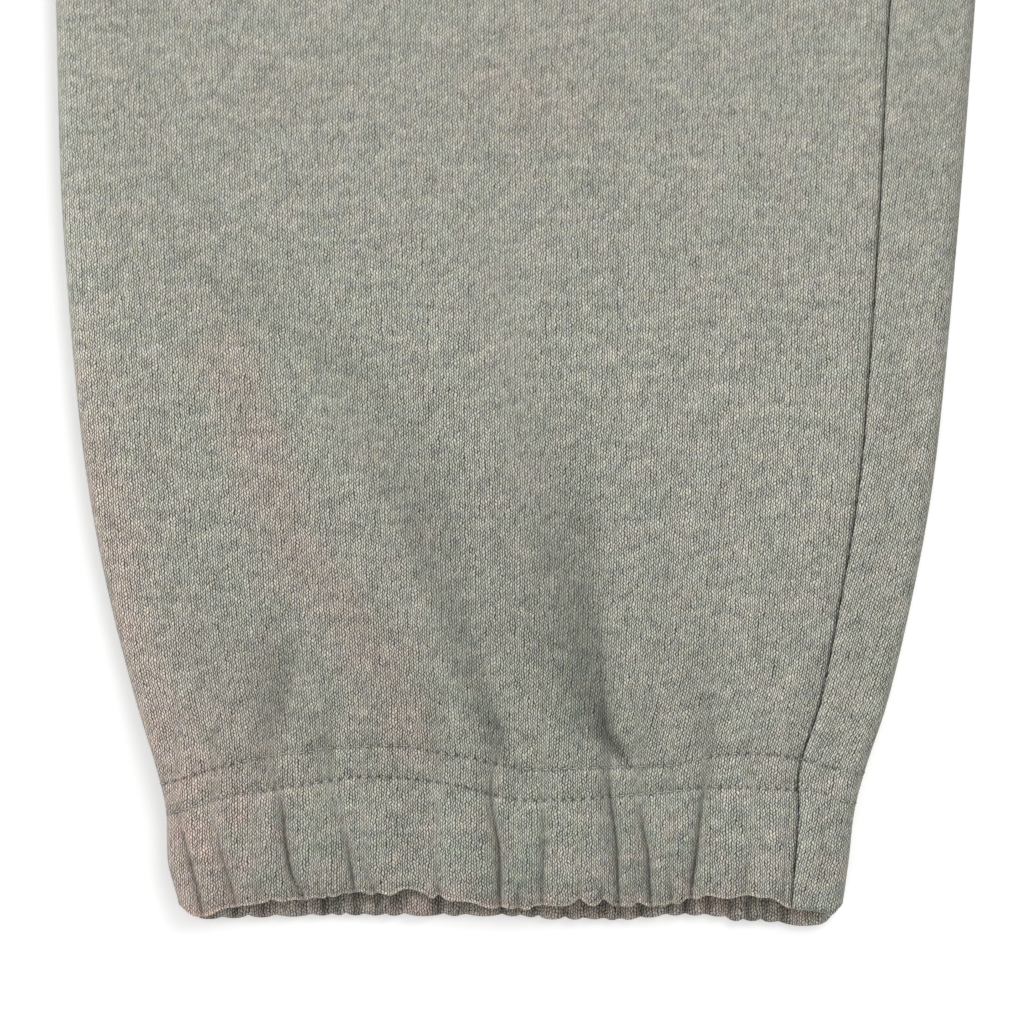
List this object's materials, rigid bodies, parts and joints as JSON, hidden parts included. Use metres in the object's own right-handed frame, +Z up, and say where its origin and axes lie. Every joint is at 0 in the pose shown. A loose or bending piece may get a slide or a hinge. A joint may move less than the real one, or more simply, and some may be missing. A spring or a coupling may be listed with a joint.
{
  "type": "jogger sweatpants",
  "caption": "Jogger sweatpants in grey fleece, laid flat, with elastic gathered in the turned-up hems and the waistband.",
  "frame": {"origin": "centre of the garment's box, on the surface that it lies on", "axes": "+Y from the hems to the waist, +X to the wearer's left, +Z up out of the front"},
  "size_m": [0.6002, 1.0314, 0.0095],
  "materials": {
    "fleece": "heather grey knitted fleece, matt",
    "hem_casing": "the same fleece, doubled and gathered over elastic",
    "waistband": "the same fleece, doubled and gathered over elastic"
  },
  "bodies": {
    "root": {"front_panel_left": "fleece", "front_panel_right": "fleece", "back_panel_left": "fleece", "back_panel_right": "fleece", "hem_casing_front_left": "hem_casing", "hem_casing_front_right": "hem_casing", "hem_casing_back_left": "hem_casing", "hem_casing_back_right": "hem_casing", "waistband_front": "waistband", "waistband_back": "waistband"}
  },
  "joints": []
}
